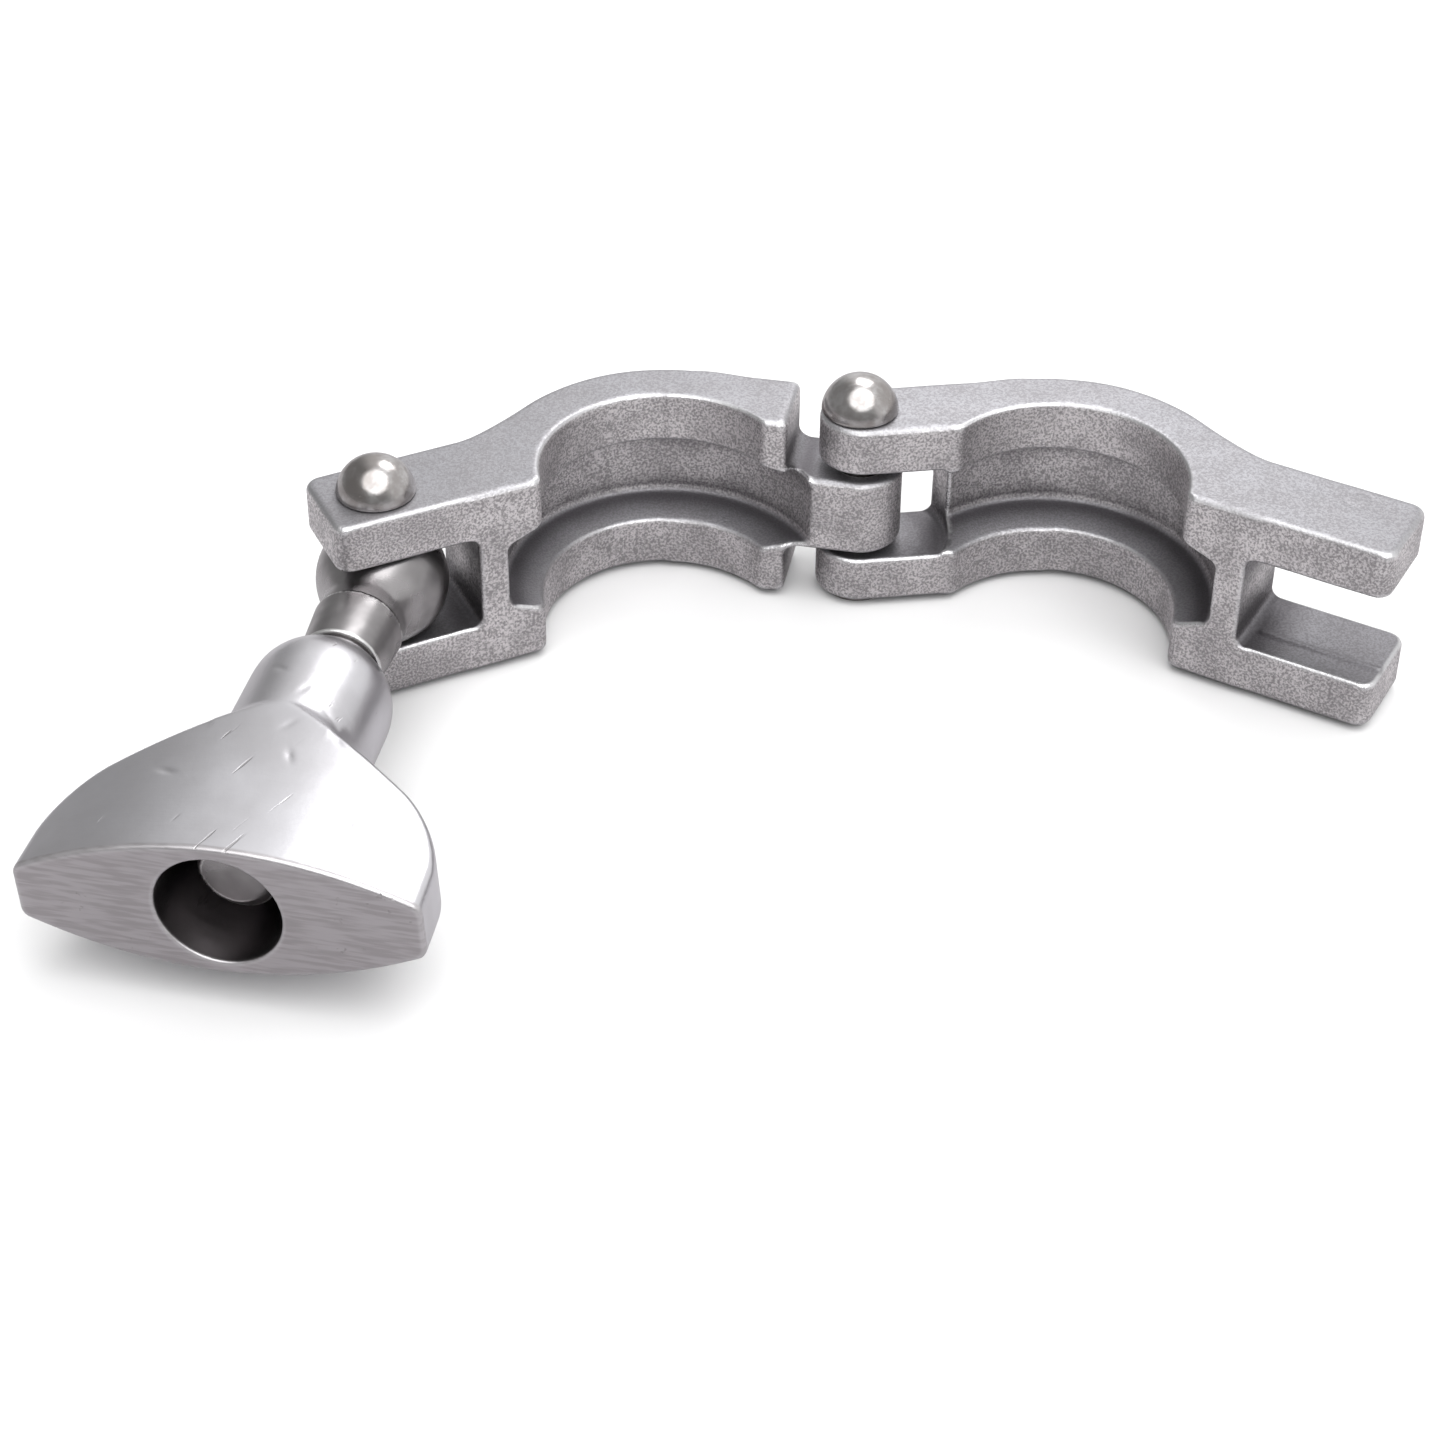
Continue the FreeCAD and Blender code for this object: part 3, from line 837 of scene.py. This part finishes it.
def rivet_field(lean):
    """A dome, a shank and a flat tail; lean moves the dome off the shank's axis."""
    def field(x, y, z):
        out = np.hypot(x, y)
        dome_out = np.hypot(x - lean[0], y - lean[1])
        dome = np.hypot(dome_out, z - DOME_MIDDLE) - DOME_RADIUS
        dome = keep(dome, HALF_HEIGHT + 0.03 - z, 0.22)
        shank = np.maximum(out - RIVET_RADIUS, np.abs(z) - HALF_HEIGHT - 0.2)
        tail = keep(out - TAIL_RADIUS, between(z, *TAIL), 0.24)
        return np.minimum(np.minimum(dome, shank), tail)
    return field


for name, place, body, lean in (("hinge_rivet", spot(HINGE, 0), "slot_half", HINGE_LEAN),
                                ("bolt_rivet", spot(*BOLT_PIN), "clevis_half", (0.0, 0.0))):
    add_piece(name, rivet_field(lean), (-3.7, -3.7, -9.4), (3.7, 3.7, 12), 0.14, place, body,
              polished_steel)

# %% [markdown]
# ## The swing bolt
#
# The bolt is turned from bar. Its thread is a real helix, because a screw with plain rings looks
# wrong as soon as it is seen from the side. The radius falls from crest to root with the distance
# from the helix, which is found from the angle round the axis.

# %% Thread
PITCH = 25.4 / 20
CREST = 3.175
ROOT = 2.45
CREST_HALF = 0.08
FLANK_SLOPE = 1.73


def thread_radius(s, w, n):
    """The thread's radius at each point along and round the bolt."""
    turns = s / PITCH - np.arctan2(n, w) / (2 * math.pi)
    off_crest = np.abs(turns - np.round(turns)) * PITCH
    return np.clip(CREST - (off_crest - CREST_HALF) * FLANK_SLOPE, ROOT, CREST)


print("thread:", PITCH, "mm pitch,", CREST - ROOT, "mm deep")

# %% [markdown]
# The rest of the bolt follows the lathe's order from the rivet outwards. The ball has two flats,
# where it fits between the ears, and a cross bore for the rivet. After the neck comes a taper with
# a sharp shoulder, which the finish brightens with a painted highlight, then a narrow relief, where
# the threading tool ran out, and the thread. Along is s, and w and n lie across.

# %% The swing bolt
BALL_RADIUS = 5.5
FLAT_HALF = 4.15
NECK_RADIUS = 3.6
NECK = (0.7, 7.3)
TAPER_RADIUS = 3.74
TAPER_FALL = 0.066
TAPER = (7.05, 12.2)
RELIEF_RADIUS = 2.8
RELIEF = (10, 14)
THREAD = (12.9, 38.5)
THREAD_CHAMFER = 0.3


def screw_field(s, w, n):
    """The threaded part, with a chamfer at both ends."""
    out = np.hypot(w, n)
    screw = np.maximum((out - thread_radius(s, w, n)) / 2, THREAD[0] - s)
    chamfer = (out - CREST + THREAD_CHAMFER + between(s, *THREAD)) / math.sqrt(2)
    return keep(np.maximum(screw, chamfer), s - THREAD[1], 0.1)


def bolt_field(s, w, n):
    """Ball, neck, taper, relief and thread, along s from the rivet."""
    out = np.hypot(w, n)
    ball = keep(np.hypot(s, out) - BALL_RADIUS, np.abs(n) - FLAT_HALF, 0.35)
    neck = np.maximum(out - NECK_RADIUS, between(s, *NECK))
    taper = keep(out - TAPER_RADIUS + (s - TAPER[0]) * TAPER_FALL, between(s, *TAPER), 0.1)
    relief = np.maximum(out - RELIEF_RADIUS, between(s, *RELIEF))
    solid = join(join(ball, neck, 1.3), np.minimum(taper, relief), 0.05)
    return carve(np.minimum(solid, screw_field(s, w, n)), np.hypot(s, w) - TURNING_RADIUS, 0.15)


add_piece("swing_bolt", bolt_field, (-5.6, -5.6, -4.3), (38.7, 5.6, 4.3), 0.15,
          spot(*BOLT_PIN, BOLT_TURN), "bolt", turned_steel)

# %% [markdown]
# ## The wing nut
#
# The nut is the biggest piece: a round hub with a domed nose, and two wings with a lens-shaped
# section that spread behind it. The wings are one shallow crown, thick at the middle and thin at
# the tips, cut by a swept rear edge and by sides that draw in. Subdividing a box would also give
# that crown, but it would not keep the crisp edge round the flat end face.

# %% Wings
WING_REACH = 15.5
CROWN_HALF = 5.95
TIP_FALL = 3.65
REAR_START = 24.0
SWEEP = math.radians(33.7)


def wings_field(s, w, n):
    """Both wings as one crowned plate with a swept rear edge."""
    fall = TIP_FALL * (w / WING_REACH) ** 2
    lean = 2 * TIP_FALL / WING_REACH ** 2 * w
    crown = (np.abs(n) - CROWN_HALF + fall) / np.hypot(1, lean)
    swept = np.hypot(w, 1.0) - 0.4
    rear = (REAR_START - s) * math.cos(SWEEP) + swept * math.sin(SWEEP)
    side = np.abs(w) - WING_REACH + 0.02 * np.maximum(NUT_FACE - s, 0) ** 1.3
    return keep(keep(rear, side, 3.8), crown, 0.6)


# %% [markdown]
# Handling has left a few small nicks on the top of the nut. A bump could fake them, but their edges
# catch the light as real dents do, so they are taken out of the field. Each one has its place along
# and across the nut, and the angle it lies at.

# %% Nicks
NICKS = [(22.0, 1.9, 0.5), (22.7, 1.1, -0.4), (24.3, 3.3, 0.9), (25.6, 4.3, 0.2), (28.1, 5.4, 0.7),
         (27.4, 1.4, -0.6), (31.0, 2.6, 0.4), (33.5, -6.2, 1.2), (20.3, -1.6, 1.0), (36.8, 8.8, 0.1)]
NICK_DEPTH = 0.07
NICK_LENGTH = 0.75
NICK_WIDTH = 0.26


def nick_depth(s, w):
    """Short shallow nicks, each at its place and angle."""
    depth = 0.0
    for place_s, place_w, lie in NICKS:
        ds, dw = s - place_s, w - place_w
        along = (ds * math.cos(lie) + dw * math.sin(lie)) / NICK_LENGTH
        across = (dw * math.cos(lie) - ds * math.sin(lie)) / NICK_WIDTH
        depth = depth + NICK_DEPTH * np.exp(-along ** 2 - across ** 2)
    return depth


print(len(NICKS), "nicks in the top of the nut")

# %% [markdown]
# The hub's nose is an arc turned round the axis, which meets the hub at a tangent. Towards the end
# face the hub sinks into the wings, and the fillet between them widens sideways, so the two flow
# into one crown. Last come the bore, a plain hole where the real nut is threaded, and the wide mouth
# that clears the bolt's end.

# %% Hub and mouth
NUT_START = 13.35
HUB_RADIUS = 5.88
HUB_END = 41
HUB_SINKS = 27.8
NOSE_RADIUS = 6.72
NOSE_MIDDLE = (18.364, -0.801)
MOUTH_RADIUS = 4.85
MOUTH_FLOOR = 26
BORE_RADIUS = 3.25
NUT_ROLL = math.radians(2.7)


def hub_field(s, out):
    """The hub with its domed nose, sinking towards the end face."""
    nose = np.hypot(np.minimum(s - NOSE_MIDDLE[0], 0), out - NOSE_MIDDLE[1]) - NOSE_RADIUS
    hub = keep(keep(out - HUB_RADIUS, nose, 0.3), NUT_START - s, 0.12)
    return np.maximum(hub, s - HUB_END) + 0.3 * np.clip(s - HUB_SINKS, 0, 12)


def nut_field(s, w, n):
    """Wings and hub together, with the nicks, the mouth and the bore."""
    out = np.hypot(w, n)
    fillet = 0.3 + 2.1 * np.clip(np.abs(w) / 4.5, 0, 1) ** 2
    solid = join(wings_field(s, w, n), hub_field(s, out), fillet)
    solid = keep(solid + nick_depth(s, w) * (n > 0), s - NUT_FACE, 0.35)
    mouth = keep(out - MOUTH_RADIUS, MOUTH_FLOOR - s, 0.6)
    return carve(solid, np.minimum(mouth, out - BORE_RADIUS), 0.2) + waves(s, w, n, 0.006)


add_piece("wing_nut", nut_field, (12.93, -15.8, -6.2), (42.6, 15.8, 6.2), CELL,
          spot(*BOLT_PIN, BOLT_TURN, NUT_ROLL), "nut", satin_steel)

# %% [markdown]
# ## Floor
#
# The clamp stands on a plain pale floor. Polished steel mirrors its floor, and a white one would
# wash out the lower halves of the domes, so rays that come off gloss see a darker paint.

# %% Floor
FLOOR_HALF = 3.0
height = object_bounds()[0][2]
floor_mesh = bpy.data.meshes.new("floor")
floor_mesh.from_pydata([(x * FLOOR_HALF, y * FLOOR_HALF, height)
                        for x, y in ((-1, -1), (1, -1), (1, 1), (-1, 1))], [], [(0, 1, 2, 3)])
floor = bpy.data.objects.new("floor", floor_mesh)
bpy.context.scene.collection.objects.link(floor)

paint = bpy.data.materials.new("floor_paint")
paint.use_nodes = True
glossy_ray = paint.node_tree.nodes.new("ShaderNodeLightPath").outputs["Is Glossy Ray"]
pale = tint(paint.node_tree, (0.9, 0.9, 0.9), (0.50, 0.49, 0.50), glossy_ray)
floor_shader = paint.node_tree.nodes["Principled BSDF"]
paint.node_tree.links.new(pale, floor_shader.inputs["Base Color"])
floor_shader.inputs["Roughness"].default_value = 0.9
floor_mesh.materials.append(paint)
print("floor at", round(height, 5), "m")

# %% [markdown]
# ## Light
#
# Steel shows what stands round it more than its own colour. So the light is soft: a wide overhead
# glow that reaches the tops, and one small softbox near the hinge for the highlights. The room is a
# pale world that dims to the left and towards the viewer, which gives the flanks their deeper grey.


# %% Softbox and ceiling
def hang_light(name, kind, heading):
    """A light of this kind, turned to shine along a heading."""
    light = bpy.data.lights.new(name, kind)
    holder = bpy.data.objects.new(name, light)
    holder.rotation_euler = Vector(heading).to_track_quat("-Z", "Y").to_euler()
    bpy.context.scene.collection.objects.link(holder)
    return light, holder


KEY_PLACE = Vector((0.075, 0.070, 0.135))
KEY_AIM = Vector((-0.045, -0.03, 0))
key, key_holder = hang_light("key", "AREA", KEY_AIM - KEY_PLACE)
key.shape = "RECTANGLE"
key.size = key.size_y = 0.08
key.energy = 0.075
key_holder.location = KEY_PLACE
key_holder.visible_camera = False

ceiling, ceiling_holder = hang_light("ceiling", "SUN", (0.12, 0.35, -0.85))
ceiling.energy = 2.3
ceiling.angle = math.radians(70)
bpy.context.scene.view_settings.view_transform = "Standard"
print("lights:", key_holder.name, ceiling_holder.name)

# %% The room round it
BRIGHT_SIDE = (0.80, 0.10, 0.35)


def make_room():
    """A world that is bright to the right and dim to the left and towards the viewer."""
    world = bpy.data.worlds.new("room")
    bpy.context.scene.world = world
    world.use_nodes = True
    tree = world.node_tree
    heading = tree.nodes.new("ShaderNodeTexCoord").outputs["Generated"]
    toward = node(tree, "ShaderNodeVectorMath", {"operation": "DOT_PRODUCT"}, _0=heading,
                  _1=BRIGHT_SIDE).outputs["Value"]
    shade = fade(tree, toward, 0.12, 0.50, 0.34, 1.0)
    colour = node(tree, "ShaderNodeCombineColor", Red=shade, Green=shade, Blue=shade)
    tree.links.new(colour.outputs[0], tree.nodes["Background"].inputs["Color"])
    return world


print("world:", make_room().name)

# %% [markdown]
# ## Camera
#
# The camera stands in front of the clamp, a little to the left, and looks down on it as a person at
# a bench would. Its three axes are built from the heading, the downward angle and a slight roll.

# %% Camera
HEADING = math.radians(26.09)
DOWN = 0.6677
ROLL = 0.0092
STANDPOINT = Vector((-88.62, -192.33, 148.32)) * MM

forward = Vector((math.sin(HEADING) * math.cos(DOWN), math.cos(HEADING) * math.cos(DOWN),
                  -math.sin(DOWN)))
level = Vector((math.cos(HEADING), -math.sin(HEADING), 0))
upright = level.cross(forward)
right = math.cos(ROLL) * level + math.sin(ROLL) * upright
up = math.cos(ROLL) * upright - math.sin(ROLL) * level

lens = bpy.data.cameras.new("camera")
lens.lens = 76.45
lens.sensor_width = 36
camera = bpy.data.objects.new("camera", lens)
bpy.context.scene.collection.objects.link(camera)
camera.matrix_world = Matrix((right, up, -forward)).transposed().to_4x4()
camera.location = STANDPOINT
bpy.context.scene.camera = camera
print("camera", round(STANDPOINT.length, 3), "m from the clamp's middle")
